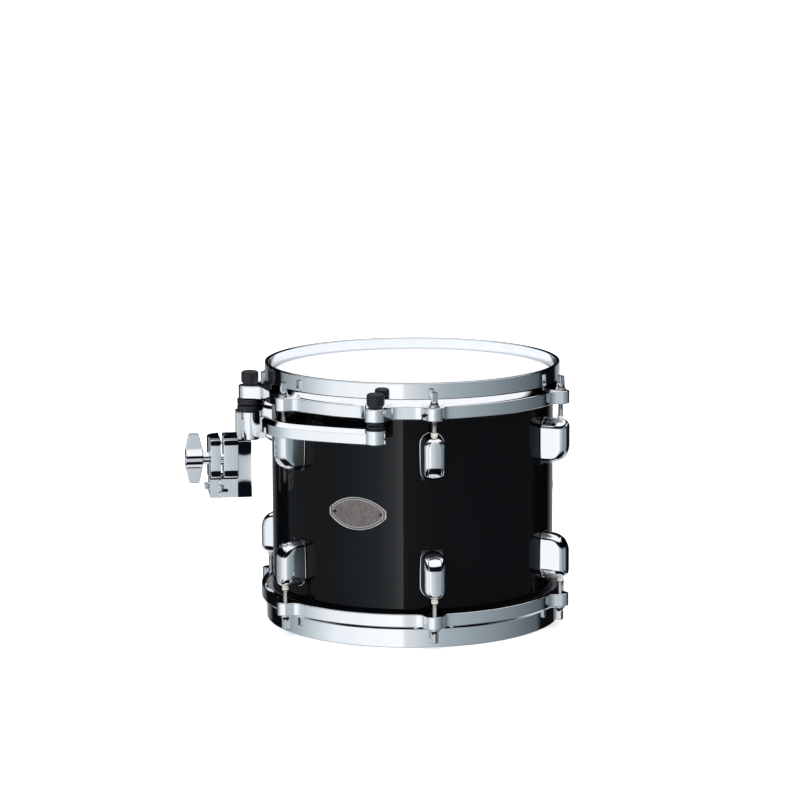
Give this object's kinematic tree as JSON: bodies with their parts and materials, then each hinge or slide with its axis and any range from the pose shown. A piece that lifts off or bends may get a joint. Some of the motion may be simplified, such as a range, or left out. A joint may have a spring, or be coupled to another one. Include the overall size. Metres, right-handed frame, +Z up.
{
  "type": "tom tom drum",
  "caption": "Rack tom drum with a glossy black shell, die-cast chrome hoops and lugs, white heads and a rubber-isolated side mount with a rod clamp.",
  "frame": {"origin": "on the drum's axis, in the plane of the resonant (lower) hoop's rim edge", "axes": "+Z up the drum's axis to the batter head; the suspension mount and its rod clamp are on the -X side; one lug pair is at -Y"},
  "size_m": [0.4088, 0.3566, 0.278],
  "materials": {
    "black_lacquer": "high-gloss black lacquer over maple plies",
    "badge_metal": "dark antiqued plate with a bright edge",
    "dark_pins": "black",
    "white_film": "coated white drumhead film",
    "head_aluminium": "bare rolled channel",
    "gasket_rubber": "matte black",
    "mount_rubber": "moulded black",
    "nylon": "natural nylon",
    "nut_brass": "machined",
    "chrome": "bright chrome on die-cast zinc",
    "plated_steel": "nickel-plated steel"
  },
  "bodies": {
    "drum": {"shell": "black_lacquer", "badge_plate": "badge_metal", "badge_pins": "dark_pins", "vent_grommet": "chrome", "batter_head_film": "white_film", "batter_flesh_hoop": "head_aluminium", "resonant_head_film": "white_film", "resonant_flesh_hoop": "head_aluminium", "batter_hoop": "chrome", "resonant_hoop": "chrome", "batter_lugs": "chrome", "resonant_lugs": "chrome", "lug_gaskets": "gasket_rubber", "lug_screws": "plated_steel", "lug_screw_washers": "plated_steel", "lug_swivel_nuts": "nut_brass", "lug_rod_guides": "nylon", "rod_washers": "plated_steel", "suspension_arm": "chrome", "lower_grommets": "mount_rubber", "upper_caps": "mount_rubber", "suspension_bolts": "plated_steel", "suspension_nuts": "plated_steel", "clamp_bracket": "chrome", "bracket_screws": "plated_steel", "jaw_guide_pins": "plated_steel", "memory_lock_inner": "chrome", "memory_lock_screws": "plated_steel", "memory_lock_pin": "plated_steel"},
    "batter_rod_1": {"batter_rod_1": "plated_steel"},
    "batter_rod_2": {"batter_rod_2": "plated_steel"},
    "batter_rod_3": {"batter_rod_3": "plated_steel"},
    "batter_rod_4": {"batter_rod_4": "plated_steel"},
    "batter_rod_5": {"batter_rod_5": "plated_steel"},
    "batter_rod_6": {"batter_rod_6": "plated_steel"},
    "resonant_rod_1": {"resonant_rod_1": "plated_steel"},
    "resonant_rod_2": {"resonant_rod_2": "plated_steel"},
    "resonant_rod_3": {"resonant_rod_3": "plated_steel"},
    "resonant_rod_4": {"resonant_rod_4": "plated_steel"},
    "resonant_rod_5": {"resonant_rod_5": "plated_steel"},
    "resonant_rod_6": {"resonant_rod_6": "plated_steel"},
    "clamp_jaw": {"clamp_jaw": "chrome", "wing_washer": "plated_steel"},
    "wing_bolt": {"wing_bolt": "chrome"},
    "memory_lock_outer": {"memory_lock_outer": "chrome"},
    "memory_lock_bolt": {"memory_lock_bolt": "plated_steel"},
    "memory_lock_nut": {"memory_lock_nut": "plated_steel"}
  },
  "joints": [
    {"name": "batter_rod_1_turn", "type": "hinge", "parent": "drum", "child": "batter_rod_1", "pos_m": [0, -0.169, 0.243], "axis": [0, 0, 1], "continuous": true},
    {"name": "batter_rod_2_turn", "type": "hinge", "parent": "drum", "child": "batter_rod_2", "pos_m": [0.14636, -0.0845, 0.243], "axis": [0, 0, 1], "continuous": true},
    {"name": "batter_rod_3_turn", "type": "hinge", "parent": "drum", "child": "batter_rod_3", "pos_m": [0.14636, 0.0845, 0.243], "axis": [0, 0, 1], "continuous": true},
    {"name": "batter_rod_4_turn", "type": "hinge", "parent": "drum", "child": "batter_rod_4", "pos_m": [0, 0.169, 0.243], "axis": [0, 0, 1], "continuous": true},
    {"name": "batter_rod_5_turn", "type": "hinge", "parent": "drum", "child": "batter_rod_5", "pos_m": [-0.14636, 0.0845, 0.243], "axis": [0, 0, 1], "continuous": true},
    {"name": "batter_rod_6_turn", "type": "hinge", "parent": "drum", "child": "batter_rod_6", "pos_m": [-0.14636, -0.0845, 0.243], "axis": [0, 0, 1], "continuous": true},
    {"name": "resonant_rod_1_turn", "type": "hinge", "parent": "drum", "child": "resonant_rod_1", "pos_m": [0, -0.169, 0.035], "axis": [0, 0, 1], "continuous": true},
    {"name": "resonant_rod_2_turn", "type": "hinge", "parent": "drum", "child": "resonant_rod_2", "pos_m": [0.14636, -0.0845, 0.035], "axis": [0, 0, 1], "continuous": true},
    {"name": "resonant_rod_3_turn", "type": "hinge", "parent": "drum", "child": "resonant_rod_3", "pos_m": [0.14636, 0.0845, 0.035], "axis": [0, 0, 1], "continuous": true},
    {"name": "resonant_rod_4_turn", "type": "hinge", "parent": "drum", "child": "resonant_rod_4", "pos_m": [0, 0.169, 0.035], "axis": [0, 0, 1], "continuous": true},
    {"name": "resonant_rod_5_turn", "type": "hinge", "parent": "drum", "child": "resonant_rod_5", "pos_m": [-0.14636, 0.0845, 0.035], "axis": [0, 0, 1], "continuous": true},
    {"name": "resonant_rod_6_turn", "type": "hinge", "parent": "drum", "child": "resonant_rod_6", "pos_m": [-0.14636, -0.0845, 0.035], "axis": [0, 0, 1], "continuous": true},
    {"name": "wing_bolt_turn", "type": "hinge", "parent": "clamp_jaw", "child": "wing_bolt", "pos_m": [-0.2183, -0.008, 0.17825], "axis": [-1, 0, 0], "range_deg": [0, 1080]},
    {"name": "clamp_jaw_slide", "type": "slide", "parent": "drum", "child": "clamp_jaw", "axis": [-1, 0, 0], "range_m": [0, 0.00375]},
    {"name": "memory_lock_swing", "type": "hinge", "parent": "drum", "child": "memory_lock_outer", "pos_m": [-0.20815, -0.0107, 0.1459], "axis": [0, 0, 1], "range_deg": [0, 2.02]},
    {"name": "memory_lock_bolt_turn", "type": "hinge", "parent": "memory_lock_outer", "child": "memory_lock_bolt", "pos_m": [-0.2193, 0.017, 0.1431], "axis": [-1, 0, 0], "range_deg": [0, 440]},
    {"name": "memory_lock_nut_travel", "type": "slide", "parent": "memory_lock_outer", "child": "memory_lock_nut", "axis": [1, 0, 0], "range_m": [0, 0.00098]}
  ],
  "couplings": [
    {"joint": "wing_bolt_turn", "follows": "clamp_jaw_slide", "rad_per_m": 5026.5},
    {"joint": "memory_lock_bolt_turn", "follows": "memory_lock_swing", "ratio": 217.56},
    {"joint": "memory_lock_nut_travel", "follows": "memory_lock_swing", "m_per_rad": 0.0277}
  ]
}
